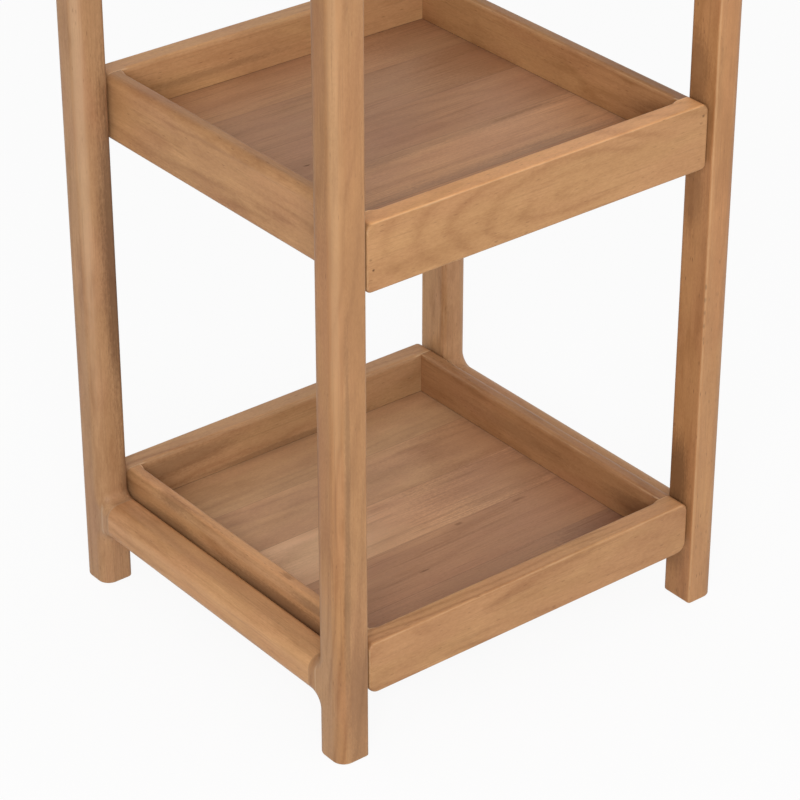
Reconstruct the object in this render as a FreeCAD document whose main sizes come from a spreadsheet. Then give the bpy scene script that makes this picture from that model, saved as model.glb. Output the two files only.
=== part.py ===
import FreeCAD, Part
import os
import Sketcher

# Tiered side table: three trays hung between two side frames of legs and low stretchers.
# X runs to the right of the front, Y to the back, Z up from the floor. All sizes are in millimetres.

TRAYS = ("top", "middle", "bottom")
BOARDS_PER_TRAY = 5

# Driving dimensions: name, value, meaning
DRIVING = [
    ("floor_z", 0, "underside of the feet"),
    ("mid_line", 0, "middle of a rim's thickness, where its dowels run"),
    ("leg_height", 762, "floor to leg top"),
    ("leg_reveal", 6, "leg tops over the rim of the top tray"),
    ("leg_width", 26, "leg section, left to right"),
    ("leg_depth", 30, "leg section, front to back"),
    ("leg_clear_span", 316, "between the inner faces of left and right legs"),
    ("frame_depth", 334, "over the legs, front to back"),
    ("outer_round", 10, "outer edges of legs and stretchers"),
    ("inner_round", 2.5, "inner edge at the face of a leg"),
    ("ear_inner_round", 4, "inner edges that run from the leg over the ear into the stretcher"),
    ("leg_top_round", 2, "edge around the top of a leg"),
    ("foot_round", 1.2, "edge around the foot of a leg"),
    ("stretcher_z", 46, "underside of the stretchers"),
    ("stretcher_height", 30, "height of the stretchers"),
    ("ear_length", 8.5, "how far a leg's ear reaches to the stretcher's shoulder"),
    ("cove_radius", 8, "hollow above and below the ear"),
    ("tenon_thickness", 9, "stretcher tenon, left to right"),
    ("tenon_height", 18, "stretcher tenon, up and down"),
    ("tenon_length", 20, "stretcher tenon beyond its shoulder"),
    ("tenon_clearance", 0.1, "around the cheeks of a tenon"),
    ("end_gap", 1, "glue space at the end of a tenon or dowel"),
    ("bottom_tray_z", 49, "underside of the bottom tray"),
    ("tray_gap", 3, "gap between a leg and the side of a tray"),
    ("tray_setback", 3.5, "tray behind the faces of the legs"),
    ("long_rim_thickness", 18, "thickness of the front and back rims"),
    ("side_rim_thickness", 14, "thickness of the side rims"),
    ("top_rim_height", 52, "rim of the top tray"),
    ("middle_rim_height", 52, "rim of the middle tray"),
    ("bottom_rim_height", 43.5, "rim of the bottom tray"),
    ("side_edge_round", 6.5, "upper side edges of the trays"),
    ("long_rim_round", 2.5, "edges of the outer faces of the front and back rims"),
    ("rim_inner_round", 3.5, "routed inner edge at the rim tops"),
    ("rim_inner_corner", 9, "plan radius that the routed edge leaves in the corners"),
    ("top_low_round", 4.5, "lower side edges of the top tray"),
    ("middle_low_round", 4.5, "lower side edges of the middle tray"),
    ("bottom_low_round", 9, "lower side edges of the bottom tray"),
    ("tray_inner_depth", 35, "rim top to base"),
    ("base_thickness", 5.5, "thickness of the base boards"),
    ("groove_depth", 5, "housing of the base in the rims"),
    ("groove_clearance", 0.15, "above the base in its groove"),
    ("base_edge_gap", 0.5, "room for the base to swell in its groove"),
    ("leg_dowel_diameter", 8, "dowels between legs and rims"),
    ("corner_dowel_diameter", 6, "dowels between the rims of a tray"),
    ("dowel_clearance", 0.1, "around a dowel in its hole"),
    ("leg_dowel_in_leg", 14, "hole in the leg"),
    ("leg_dowel_in_rim", 22, "hole in the end of a front or back rim"),
    ("leg_dowel_low", 28, "lower leg dowel, below the rim top"),
    ("leg_dowel_high", 12, "upper leg dowel, below the rim top"),
    ("corner_dowel_in_face", 9, "hole in the inner face of a front or back rim"),
    ("corner_dowel_in_end", 22, "hole in the end of a side rim"),
    ("corner_dowel_drop", 20, "corner dowel, below the rim top"),
    ("cutter_margin", 6, "how far the router shape stands over the rims"),
]

# Places worked out from the driving dimensions
DERIVED = [
    ("leg_half_width", "leg_width / 2"),
    ("leg_half_depth", "leg_depth / 2"),
    ("leg_x", "leg_clear_span / 2 + leg_half_width"),
    ("leg_y", "frame_depth / 2 - leg_half_depth"),
    ("ear_y", "leg_half_depth + ear_length"),
    ("stretcher_top", "stretcher_z + stretcher_height"),
    ("shoulder_length", "2 * (leg_y - ear_y)"),
    ("tenon_span", "shoulder_length + 2 * tenon_length"),
    ("tenon_half_thickness", "tenon_thickness / 2"),
    ("tenon_low", "(stretcher_height - tenon_height) / 2"),
    ("tenon_high", "tenon_low + tenon_height"),
    ("mortise_half_thickness", "tenon_half_thickness + tenon_clearance"),
    ("mortise_low", "stretcher_z + tenon_low - tenon_clearance"),
    ("mortise_high", "stretcher_z + tenon_high + tenon_clearance"),
    ("mortise_depth", "tenon_length + end_gap"),
    ("top_tray_z", "leg_height - leg_reveal - top_rim_height"),
    ("middle_tray_z", "(bottom_tray_z + top_tray_z) / 2"),
    ("tray_half_width", "leg_clear_span / 2 - tray_gap"),
    ("tray_half_depth", "frame_depth / 2 - tray_setback"),
    ("long_rim_half", "long_rim_thickness / 2"),
    ("side_rim_half", "side_rim_thickness / 2"),
    ("front_rim_y", "tray_half_depth - long_rim_half"),
    ("side_rim_x", "tray_half_width - side_rim_half"),
    ("opening_half_width", "side_rim_x - side_rim_half"),
    ("opening_half_depth", "tray_half_depth - long_rim_thickness"),
    ("side_rim_length", "2 * opening_half_depth"),
    ("long_groove_floor", "long_rim_half - groove_depth"),
    ("side_groove_floor", "side_rim_half - groove_depth"),
    ("groove_span", "2 * (opening_half_width + groove_depth)"),
    ("base_half_length", "opening_half_width + groove_depth - base_edge_gap"),
    ("base_half_depth", "opening_half_depth + groove_depth - base_edge_gap"),
    ("board_half_width", "base_half_depth / %d" % BOARDS_PER_TRAY),
    ("cutter_half_width", "tray_half_width + cutter_margin"),
    ("cutter_half_depth", "tray_half_depth + cutter_margin"),
    ("cutter_drop", "rim_inner_round + cutter_margin"),
    ("leg_hole_diameter", "leg_dowel_diameter + 2 * dowel_clearance"),
    ("corner_hole_diameter", "corner_dowel_diameter + 2 * dowel_clearance"),
    ("leg_dowel_radius", "leg_dowel_diameter / 2"),
    ("corner_dowel_radius", "corner_dowel_diameter / 2"),
    ("leg_hole_plane", "leg_half_width - leg_dowel_in_leg"),
    ("leg_hole_y", "leg_y - front_rim_y"),
    ("rim_hole_plane", "tray_half_width - leg_dowel_in_rim"),
    ("leg_dowel_start", "leg_clear_span / 2 + leg_dowel_in_leg - end_gap"),
    ("leg_dowel_length", "leg_dowel_in_leg + tray_gap + leg_dowel_in_rim - 2 * end_gap"),
    ("corner_hole_plane", "opening_half_depth - corner_dowel_in_end"),
    ("corner_dowel_start", "opening_half_depth + corner_dowel_in_face - end_gap"),
    ("corner_dowel_length", "corner_dowel_in_face + corner_dowel_in_end - 2 * end_gap"),
]
for tray in TRAYS:
    DERIVED += [
        (tray + "_tray_top", "%s_tray_z + %s_rim_height" % (tray, tray)),
        (tray + "_base_top", "%s_rim_height - tray_inner_depth" % tray),
        (tray + "_groove_low", "%s_base_top - base_thickness" % tray),
        (tray + "_groove_high", "%s_base_top + groove_clearance" % tray),
        (tray + "_base_z", "%s_tray_z + %s_groove_low" % (tray, tray)),
        (tray + "_dowel_low", "%s_rim_height - leg_dowel_low" % tray),
        (tray + "_dowel_high", "%s_rim_height - leg_dowel_high" % tray),
        (tray + "_corner_dowel", "%s_rim_height - corner_dowel_drop" % tray),
        (tray + "_dowel_low_z", "%s_tray_z + %s_dowel_low" % (tray, tray)),
        (tray + "_dowel_high_z", "%s_tray_z + %s_dowel_high" % (tray, tray)),
        (tray + "_corner_dowel_z", "%s_tray_z + %s_corner_dowel" % (tray, tray)),
    ]

doc = FreeCAD.newDocument("tiered_side_table")
sheet = doc.addObject("Spreadsheet::Sheet", "Sizes")
rows = [(name, str(value), note) for name, value, note in DRIVING]
rows += [(name, "=" + formula, "worked out") for name, formula in DERIVED]
for row, (name, content, note) in enumerate(rows, start=1):
    sheet.set("A%d" % row, name)
    sheet.set("B%d" % row, content)
    sheet.setAlias("B%d" % row, name)
    sheet.set("C%d" % row, note)
doc.recompute()


def size(name):
    """The number behind a name of the sheet; a minus in front turns its sign."""
    value = float(sheet.get(name.lstrip("-")))
    return -value if name.startswith("-") else value


def cell(name):
    """The expression that follows a name of the sheet."""
    return "-Sizes." + name[1:] if name.startswith("-") else "Sizes." + name


def new_sketch(body, role, name, offset=None):
    """A sketch on one of the body's own planes, or on a plane moved along its normal."""
    sketch = body.newObject("Sketcher::SketchObject", name)
    plane = next(item for item in body.Origin.OriginFeatures if item.Role == role)
    sketch.AttachmentSupport = [(plane, "")]
    sketch.MapMode = "FlatFace"
    if offset:
        sketch.setExpression("AttachmentOffset.Base.z", cell(offset))
    return sketch


def bind(sketch, constraint, name):
    """Adds a constraint whose value follows the sheet."""
    index = sketch.addConstraint(constraint)
    sketch.renameConstraint(index, "d%d" % index)
    sketch.setExpression("Constraints.d%d" % index, cell(name))


def pin(sketch, geometry, point, x, y):
    """Holds a point of a sketch at two sizes measured from its origin."""
    bind(sketch, Sketcher.Constraint("DistanceX", -1, 1, geometry, point, size(x)), x)
    bind(sketch, Sketcher.Constraint("DistanceY", -1, 1, geometry, point, size(y)), y)


def outline(sketch, points):
    """A closed run of straight lines through points named by pairs of sizes."""
    corners = [FreeCAD.Vector(size(x), size(y), 0) for x, y in points]
    count = len(corners)
    for i in range(count):
        sketch.addGeometry(Part.LineSegment(corners[i], corners[(i + 1) % count]), False)
    for i in range(count):
        sketch.addConstraint(Sketcher.Constraint("Coincident", i, 2, (i + 1) % count, 1))
        pin(sketch, i, 1, *points[i])


def rectangle(sketch, x0, y0, x1, y1):
    outline(sketch, [(x0, y0), (x1, y0), (x1, y1), (x0, y1)])


def circles(sketch, diameter, centres):
    """Dowel holes at the named places."""
    for i, (x, y) in enumerate(centres):
        centre = FreeCAD.Vector(size(x), size(y), 0)
        sketch.addGeometry(Part.Circle(centre, FreeCAD.Vector(0, 0, 1), size(diameter) / 2), False)
        bind(sketch, Sketcher.Constraint("Diameter", i, size(diameter)), diameter)
        pin(sketch, i, 3, x, y)


def new_body(name):
    return doc.addObject("PartDesign::Body", name)


def pad(body, sketch, length, symmetric=True, downward=False):
    feature = body.newObject("PartDesign::Pad", sketch.Name + "_pad")
    feature.Profile = sketch
    feature.setExpression("Length", cell(length))
    feature.SideType = "Symmetric" if symmetric else "One side"
    feature.Reversed = downward
    doc.recompute()
    return feature


def pocket(body, sketch, length, symmetric=False, forward=False):
    """Cuts a sketch into the body and stops the build if nothing was cut."""
    before = body.Shape.Volume
    feature = body.newObject("PartDesign::Pocket", sketch.Name + "_pocket")
    feature.Profile = sketch
    feature.setExpression("Length", cell(length))
    feature.SideType = "Symmetric" if symmetric else "One side"
    feature.Reversed = forward
    doc.recompute()
    if body.Shape.Volume > before - 1.0:
        raise RuntimeError("%s cuts nothing" % feature.Label)
    return feature


def mirrored(body, feature, role):
    """Repeats a feature on the other side of one of the body's planes."""
    copy = body.newObject("PartDesign::Mirrored", feature.Name + "_mirrored")
    copy.Originals = [feature]
    plane = next(item for item in body.Origin.OriginFeatures if item.Role == role)
    copy.MirrorPlane = (plane, [""])
    body.Tip = copy
    doc.recompute()


def at(edge, axis, place):
    """True where a whole edge lies at one place along an axis."""
    return all(abs(getattr(point, axis) - place) < 1e-4 for point in edge.discretize(5))


def soften(body, radius, name, wanted):
    """Rounds every edge of the body that the test picks."""
    base = body.Tip
    names = ["Edge%d" % i for i, edge in enumerate(base.Shape.Edges, start=1) if wanted(edge)]
    fillet = body.newObject("PartDesign::Fillet", body.Name + "_" + name)
    fillet.Base = (base, names)
    fillet.setExpression("Radius", cell(radius))
    doc.recompute()


def place(item, x, y, z, half_turn=False):
    """Stands an object at named sizes, turned half around the vertical where asked."""
    angle = 180 if half_turn else 0
    item.Placement = FreeCAD.Placement(FreeCAD.Vector(), FreeCAD.Rotation(FreeCAD.Vector(0, 0, 1), angle))
    for axis, name in zip("xyz", (x, y, z)):
        if name:
            item.setExpression("Placement.Base." + axis, cell(name))


def make_leg(name, outer, x, y, half_turn):
    """A leg whose ear points to the back; outer is the sign of its outer side before it is turned."""
    body = new_body(name)
    profile = new_sketch(body, "YZ_Plane", name + "_profile")
    outline(profile, [
        ("-leg_half_depth", "floor_z"), ("leg_half_depth", "floor_z"),
        ("leg_half_depth", "stretcher_z"), ("ear_y", "stretcher_z"),
        ("ear_y", "stretcher_top"), ("leg_half_depth", "stretcher_top"),
        ("leg_half_depth", "leg_height"), ("-leg_half_depth", "leg_height"),
    ])
    pad(body, profile, "leg_width")

    # The hollows sweep the leg into its ear, and the rounded edges run on around them into the stretcher
    back = size("leg_half_depth")
    ear_levels = (size("stretcher_z"), size("stretcher_top"))

    def is_hollow(edge):
        return at(edge, "y", back) and any(at(edge, "z", level) for level in ear_levels)

    soften(body, "cove_radius", "coves", is_hollow)
    ends = (size("floor_z"), size("leg_height"))

    def runs_along(edge, side):
        is_end = any(at(edge, "z", v) for v in ends) or at(edge, "y", size("ear_y"))
        return at(edge, "x", side) and not is_end

    def runs_over_ear(edge):
        return all(point.y > 0 for point in edge.discretize(5))

    outer_side = outer * size("leg_half_width")
    soften(body, "outer_round", "outer_edges", lambda e: runs_along(e, outer_side))
    soften(body, "ear_inner_round", "ear_inner_edges", lambda e: runs_along(e, -outer_side) and runs_over_ear(e))
    soften(body, "inner_round", "inner_edge", lambda e: runs_along(e, -outer_side) and at(e, "y", -back))
    soften(body, "leg_top_round", "top_edge", lambda e: at(e, "z", size("leg_height")))
    soften(body, "foot_round", "foot_edge", lambda e: at(e, "z", size("floor_z")))

    mortise = new_sketch(body, "XZ_Plane", name + "_mortise", "-ear_y")
    rectangle(mortise, "-mortise_half_thickness", "mortise_low", "mortise_half_thickness", "mortise_high")
    pocket(body, mortise, "mortise_depth", forward=True)

    inward = "leg_hole_plane" if outer < 0 else "-leg_hole_plane"
    holes = new_sketch(body, "YZ_Plane", name + "_dowel_holes", inward)
    levels = [tray + "_dowel_" + level + "_z" for tray in TRAYS for level in ("low", "high")]
    circles(holes, "leg_hole_diameter", [("leg_hole_y", level) for level in levels])
    pocket(body, holes, "leg_dowel_in_leg", forward=outer < 0)
    place(body, x, y, "floor_z", half_turn)
    return body


def make_stretcher(name, x, half_turn):
    """A low side rail with a tenon at each end; its outer side is -X before it is turned."""
    body = new_body(name)
    rail = new_sketch(body, "XZ_Plane", name + "_rail")
    rectangle(rail, "-leg_half_width", "floor_z", "leg_half_width", "stretcher_height")
    pad(body, rail, "shoulder_length")
    half_width = size("leg_half_width")
    half_length = size("shoulder_length") / 2

    def long_edge(edge, side):
        return at(edge, "x", side) and not any(at(edge, "y", v) for v in (-half_length, half_length))

    soften(body, "outer_round", "outer_edges", lambda e: long_edge(e, -half_width))
    soften(body, "ear_inner_round", "inner_edges", lambda e: long_edge(e, half_width))
    tenons = new_sketch(body, "XZ_Plane", name + "_tenons")
    rectangle(tenons, "-tenon_half_thickness", "tenon_low", "tenon_half_thickness", "tenon_high")
    pad(body, tenons, "tenon_span")
    place(body, x, None, "stretcher_z", half_turn)
    return body


def make_long_rim(name, tray):
    """A front or back rim over the full width of a tray; its outer face is -Y before it is turned."""
    body = new_body(name)
    height = tray + "_rim_height"
    board = new_sketch(body, "XZ_Plane", name + "_board")
    rectangle(board, "-tray_half_width", "floor_z", "tray_half_width", height)
    pad(body, board, "long_rim_thickness")

    groove = new_sketch(body, "YZ_Plane", name + "_groove")
    rectangle(groove, "long_groove_floor", tray + "_groove_low", "long_rim_half", tray + "_groove_high")
    pocket(body, groove, "groove_span", symmetric=True)

    half_width = size("tray_half_width")
    face = -size("long_rim_half")
    top = size(height)

    def is_end(edge):
        return any(at(edge, "x", v) for v in (-half_width, half_width))

    soften(body, tray + "_low_round", "low_corners", lambda e: is_end(e) and at(e, "z", 0))
    soften(body, "side_edge_round", "top_corners", lambda e: is_end(e) and at(e, "z", top))
    soften(body, "long_rim_round", "face_edges", lambda e: at(e, "y", face))

    leg_holes = new_sketch(body, "YZ_Plane", name + "_leg_holes", "rim_hole_plane")
    levels = (tray + "_dowel_low", tray + "_dowel_high")
    circles(leg_holes, "leg_hole_diameter", [("mid_line", level) for level in levels])
    mirrored(body, pocket(body, leg_holes, "leg_dowel_in_rim", forward=True), "YZ_Plane")

    corner_holes = new_sketch(body, "XZ_Plane", name + "_corner_holes", "-long_rim_half")
    corners = [(side + "side_rim_x", tray + "_corner_dowel") for side in ("-", "")]
    circles(corner_holes, "corner_hole_diameter", corners)
    pocket(body, corner_holes, "corner_dowel_in_face", forward=True)
    return body


def make_side_rim(name, tray):
    """A left or right rim between the front and back rims; its outer face is -X before it is turned."""
    body = new_body(name)
    height = tray + "_rim_height"
    section = new_sketch(body, "XZ_Plane", name + "_section")
    outline(section, [
        ("-side_rim_half", "floor_z"), ("side_rim_half", "floor_z"),
        ("side_rim_half", tray + "_groove_low"), ("side_groove_floor", tray + "_groove_low"),
        ("side_groove_floor", tray + "_groove_high"), ("side_rim_half", tray + "_groove_high"),
        ("side_rim_half", height), ("-side_rim_half", height),
    ])
    pad(body, section, "side_rim_length")
    face = -size("side_rim_half")
    top = size(height)
    soften(body, tray + "_low_round", "low_edge", lambda e: at(e, "x", face) and at(e, "z", 0))
    soften(body, "side_edge_round", "top_edge", lambda e: at(e, "x", face) and at(e, "z", top))
    holes = new_sketch(body, "XZ_Plane", name + "_end_holes", "corner_hole_plane")
    circles(holes, "corner_hole_diameter", [("mid_line", tray + "_corner_dowel")])
    mirrored(body, pocket(body, holes, "corner_dowel_in_end", forward=True), "XZ_Plane")
    return body


def make_router_shape(tray):
    """The space that a rounding cutter clears when it runs around inside the rim tops."""
    body = new_body(tray + "_router_shape")
    height = tray + "_rim_height"
    cover = new_sketch(body, "XY_Plane", body.Name + "_cover", height)
    rectangle(cover, "-cutter_half_width", "-cutter_half_depth", "cutter_half_width", "cutter_half_depth")
    pad(body, cover, "cutter_margin", symmetric=False)
    plug = new_sketch(body, "XY_Plane", body.Name + "_plug", height)
    rectangle(plug, "-opening_half_width", "-opening_half_depth", "opening_half_width", "opening_half_depth")
    pad(body, plug, "cutter_drop", symmetric=False, downward=True)
    half_width = size("opening_half_width")
    half_depth = size("opening_half_depth")

    def is_corner(edge):
        on_side = any(at(edge, "x", v) for v in (-half_width, half_width))
        return on_side and any(at(edge, "y", v) for v in (-half_depth, half_depth))

    def is_under_cover(edge):
        inside = all(abs(point.x) < half_width + 1 for point in edge.discretize(5))
        return inside and at(edge, "z", size(height))

    soften(body, "rim_inner_corner", "corners", is_corner)
    soften(body, "rim_inner_round", "roundover", is_under_cover)
    place(body, None, None, tray + "_tray_z")
    return body


def make_board(name, tray, index):
    """One base board, with its grain from left to right."""
    body = new_body(name)
    face = new_sketch(body, "XY_Plane", name + "_face")
    rectangle(face, "-base_half_length", "-board_half_width", "base_half_length", "board_half_width")
    pad(body, face, "base_thickness", symmetric=False)
    place(body, None, None, tray + "_base_z")
    steps = 2 * index + 1 - BOARDS_PER_TRAY
    body.setExpression("Placement.Base.y", "%d * Sizes.board_half_width" % steps)
    return body


def make_dowel(name, kind, turn, x, y, z):
    """A dowel of the leg or corner kind."""
    dowel = doc.addObject("Part::Cylinder", name)
    dowel.setExpression("Radius", cell(kind + "_dowel_radius"))
    dowel.setExpression("Height", cell(kind + "_dowel_length"))
    dowel.Placement = FreeCAD.Placement(FreeCAD.Vector(), turn)
    for axis, place_name in zip("xyz", (x, y, z)):
        dowel.setExpression("Placement.Base." + axis, cell(place_name))
    return dowel


def group(name, members):
    item = doc.addObject("Part::Compound", name)
    item.Links = members
    return item


def make_leg_dowels(tray):
    """Two dowels at each leg, from the leg into the end of the front or back rim."""
    dowels = []
    for side in ("-", ""):
        turn = FreeCAD.Rotation(FreeCAD.Vector(0, 1, 0), 90 if side else -90)
        for end in ("-", ""):
            for level in ("low", "high"):
                name = "%s_leg_dowel_%d" % (tray, len(dowels) + 1)
                where = (side + "leg_dowel_start", end + "front_rim_y", "%s_dowel_%s_z" % (tray, level))
                dowels.append(make_dowel(name, "leg", turn, *where))
    return group(tray + "_tray_leg_dowels", dowels)


def make_corner_dowels(tray):
    """One dowel at each corner, from the front or back rim into the end of the side rim."""
    dowels = []
    for side in ("-", ""):
        for end in ("-", ""):
            turn = FreeCAD.Rotation(FreeCAD.Vector(1, 0, 0), -90 if end else 90)
            name = "%s_corner_dowel_%d" % (tray, len(dowels) + 1)
            where = (side + "side_rim_x", end + "corner_dowel_start", tray + "_corner_dowel_z")
            dowels.append(make_dowel(name, "corner", turn, *where))
    return group(tray + "_tray_corner_dowels", dowels)


def make_tray(tray):
    """The rims, base boards and dowels of one tray."""
    nodes = []
    cutter = make_router_shape(tray)
    rims = [
        ("front_rim", make_long_rim, (None, "-front_rim_y"), False),
        ("back_rim", make_long_rim, (None, "front_rim_y"), True),
        ("left_rim", make_side_rim, ("-side_rim_x", None), False),
        ("right_rim", make_side_rim, ("side_rim_x", None), True),
    ]
    for part, make, (x, y), half_turn in rims:
        name = "%s_tray_%s" % (tray, part)
        blank = make(name + "_blank", tray)
        place(blank, x, y, tray + "_tray_z", half_turn)
        rim = doc.addObject("Part::Cut", name)
        rim.Base = blank
        rim.Tool = cutter
        nodes.append(rim)
    for index in range(BOARDS_PER_TRAY):
        nodes.append(make_board("%s_tray_base_board_%d" % (tray, index + 1), tray, index))
    nodes.append(make_leg_dowels(tray))
    nodes.append(make_corner_dowels(tray))
    return nodes


nodes = [
    make_leg("leg_front_left", -1, "-leg_x", "-leg_y", False),
    make_leg("leg_front_right", 1, "leg_x", "-leg_y", False),
    make_leg("leg_back_left", 1, "-leg_x", "leg_y", True),
    make_leg("leg_back_right", -1, "leg_x", "leg_y", True),
    make_stretcher("stretcher_left", "-leg_x", False),
    make_stretcher("stretcher_right", "leg_x", True),
]
for tray in TRAYS:
    nodes += make_tray(tray)
doc.recompute()

for item in doc.Objects:
    if "Invalid" in item.State or "Error" in item.State:
        raise RuntimeError("%s did not build: %s" % (item.Label, item.State))
os.makedirs("parts", exist_ok=True)
for node in nodes:
    if node.Shape.isNull() or not node.Shape.isValid():
        raise RuntimeError("%s has no sound shape" % node.Label)
    node.Shape.exportStep("parts/%s.step" % node.Label)
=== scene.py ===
import math
from dataclasses import dataclass

import bpy
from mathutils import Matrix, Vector


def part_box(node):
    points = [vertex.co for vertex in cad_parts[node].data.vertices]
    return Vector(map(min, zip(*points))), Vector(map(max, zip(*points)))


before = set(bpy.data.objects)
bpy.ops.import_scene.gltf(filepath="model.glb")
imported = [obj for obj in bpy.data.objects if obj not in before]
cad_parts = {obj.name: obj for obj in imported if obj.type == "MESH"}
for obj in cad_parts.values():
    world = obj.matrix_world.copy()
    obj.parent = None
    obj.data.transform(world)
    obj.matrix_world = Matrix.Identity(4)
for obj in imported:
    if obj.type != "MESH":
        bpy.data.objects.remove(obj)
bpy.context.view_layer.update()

bl_info = {
    "name": "Tiered Side Table",
    "version": (1, 0, 0),
    "blender": (4, 5, 0),
    "location": "3D View > Sidebar > Table",
    "description": "Wood finishes and a studio stage for a side table of trays between two leg frames",
    "category": "Object",
}

TRAYS = ("top", "middle", "bottom")
MM = 1000.0


def span(node):
    """Lowest and highest corner of a node, in millimetres."""
    low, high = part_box(node)
    return low * MM, high * MM


class TableWood(bpy.types.PropertyGroup):
    """Colours and grain of the wood."""

    frame_light: bpy.props.FloatVectorProperty(
        name="Frame Light", description="Pale wood of the legs and stretchers",
        subtype="COLOR", size=3, min=0.0, max=1.0, default=(0.535, 0.282, 0.122))
    frame_dark: bpy.props.FloatVectorProperty(
        name="Frame Dark", description="Dark grain of the legs and stretchers",
        subtype="COLOR", size=3, min=0.0, max=1.0, default=(0.335, 0.156, 0.061))
    rim_light: bpy.props.FloatVectorProperty(
        name="Rim Light", description="Pale wood of the tray rims",
        subtype="COLOR", size=3, min=0.0, max=1.0, default=(0.545, 0.303, 0.137))
    rim_dark: bpy.props.FloatVectorProperty(
        name="Rim Dark", description="Dark grain of the tray rims",
        subtype="COLOR", size=3, min=0.0, max=1.0, default=(0.330, 0.157, 0.064))
    base_light: bpy.props.FloatVectorProperty(
        name="Base Light", description="Pale wood of the tray bases",
        subtype="COLOR", size=3, min=0.0, max=1.0, default=(0.575, 0.320, 0.175))
    base_dark: bpy.props.FloatVectorProperty(
        name="Base Dark", description="Dark grain of the tray bases",
        subtype="COLOR", size=3, min=0.0, max=1.0, default=(0.345, 0.174, 0.092))
    dowel_light: bpy.props.FloatVectorProperty(
        name="Dowel Light", description="Pale wood of the dowels",
        subtype="COLOR", size=3, min=0.0, max=1.0, default=(0.640, 0.440, 0.250))
    dowel_dark: bpy.props.FloatVectorProperty(
        name="Dowel Dark", description="Dark grain of the dowels",
        subtype="COLOR", size=3, min=0.0, max=1.0, default=(0.460, 0.290, 0.150))
    blush_tint: bpy.props.FloatVectorProperty(
        name="Blush Tint", description="Tint of the pinkish patches in the wood",
        subtype="COLOR", size=3, min=0.0, max=1.0, default=(0.980, 0.925, 0.975))
    stain_tint: bpy.props.FloatVectorProperty(
        name="Stain Tint", description="Tint of the darker, stained patches",
        subtype="COLOR", size=3, min=0.0, max=1.0, default=(0.660, 0.580, 0.500))
    # This colour also paints shade: the broad dark marks on two of the legs
    pore_and_shade_colour: bpy.props.FloatVectorProperty(
        name="Pores", description="Colour in the open pores and dark marks",
        subtype="COLOR", size=3, min=0.0, max=1.0, default=(0.090, 0.038, 0.016))
    # This colour also paints the highlight bands along the legs' outer front edges
    worn_and_highlight_colour: bpy.props.FloatVectorProperty(
        name="Worn Edges", description="Colour where the edges are rubbed",
        subtype="COLOR", size=3, min=0.0, max=1.0, default=(0.650, 0.425, 0.235))
    ring_spacing: bpy.props.FloatProperty(
        name="Ring Spacing", description="Distance between growth rings, in millimetres",
        min=1.0, max=20.0, default=7.0)
    satin_roughness: bpy.props.FloatProperty(
        name="Satin Roughness", description="Roughness of the satin finish",
        subtype="FACTOR", min=0.0, max=1.0, default=0.45)


class TableSizes(bpy.types.PropertyGroup):
    """Sizes that the finishes and the stage follow."""

    leg_depth: bpy.props.FloatProperty(
        name="Leg Depth", description="Depth of a leg without its ear",
        subtype="DISTANCE", unit="LENGTH", min=0.01, max=0.1, default=0.030)
    floor_size: bpy.props.FloatProperty(
        name="Floor Size", description="Side of the floor",
        subtype="DISTANCE", unit="LENGTH", min=2.0, max=50.0, default=14.0)
    floor_drop: bpy.props.FloatProperty(
        name="Floor Drop", description="Depth of the floor under the feet, which keeps their faces apart",
        subtype="DISTANCE", unit="LENGTH", min=0.0, max=0.01, default=0.0005)


class TableLight(bpy.types.PropertyGroup):
    """Lamps, floor and camera of the stage."""

    key_place: bpy.props.FloatVectorProperty(
        name="Key Place", description="Where the large lamp behind the camera hangs",
        subtype="TRANSLATION", unit="LENGTH", size=3, default=(-1.88, -2.24, 1.64))
    key_size: bpy.props.FloatProperty(
        name="Key Size", description="Side of the large lamp",
        subtype="DISTANCE", unit="LENGTH", min=0.1, max=5.0, default=1.4)
    key_power: bpy.props.FloatProperty(
        name="Key Power", description="Power of the large lamp behind the camera",
        subtype="POWER", min=0.0, max=500.0, default=63.0)
    fill_place: bpy.props.FloatVectorProperty(
        name="Fill Place", description="Where the lamp in front on the right hangs",
        subtype="TRANSLATION", unit="LENGTH", size=3, default=(1.5, -2.1, 1.2))
    fill_size: bpy.props.FloatProperty(
        name="Fill Size", description="Side of the lamp in front on the right",
        subtype="DISTANCE", unit="LENGTH", min=0.1, max=5.0, default=1.6)
    fill_power: bpy.props.FloatProperty(
        name="Fill Power", description="Power of the lamp in front on the right",
        subtype="POWER", min=0.0, max=500.0, default=5.0)
    lamp_aim: bpy.props.FloatVectorProperty(
        name="Lamp Aim", description="The point that both lamps are turned to",
        subtype="TRANSLATION", unit="LENGTH", size=3, default=(0.0, 0.0, 0.34))
    room_level: bpy.props.FloatProperty(
        name="Room Level", description="Even light from all around",
        min=0.0, max=2.0, default=0.55)
    floor_colour: bpy.props.FloatVectorProperty(
        name="Floor", description="Colour of the pale floor",
        subtype="COLOR", size=3, min=0.0, max=1.0, default=(0.86, 0.86, 0.86))
    floor_glow: bpy.props.FloatProperty(
        name="Floor Glow", description="Share of plain white in the floor where it is looked at",
        subtype="FACTOR", min=0.0, max=1.0, default=0.92)
    camera_place: bpy.props.FloatVectorProperty(
        name="Camera Place", description="Where the camera stands",
        subtype="TRANSLATION", unit="LENGTH", size=3, default=(-1.29816, -1.63618, 1.37754))
    camera_line: bpy.props.FloatVectorProperty(
        name="Camera Line", description="The direction in which the camera looks",
        subtype="DIRECTION", size=3, default=(0.53833, 0.67698, -0.50189))
    picture_width: bpy.props.FloatProperty(
        name="Picture Width", description="Width of the picture behind the lens",
        subtype="DISTANCE_CAMERA", min=1.0, max=100.0, default=36.0)
    lens: bpy.props.FloatProperty(
        name="Lens", description="Focal length for that width of picture",
        subtype="DISTANCE_CAMERA", min=10.0, max=300.0, default=142.381)


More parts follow.
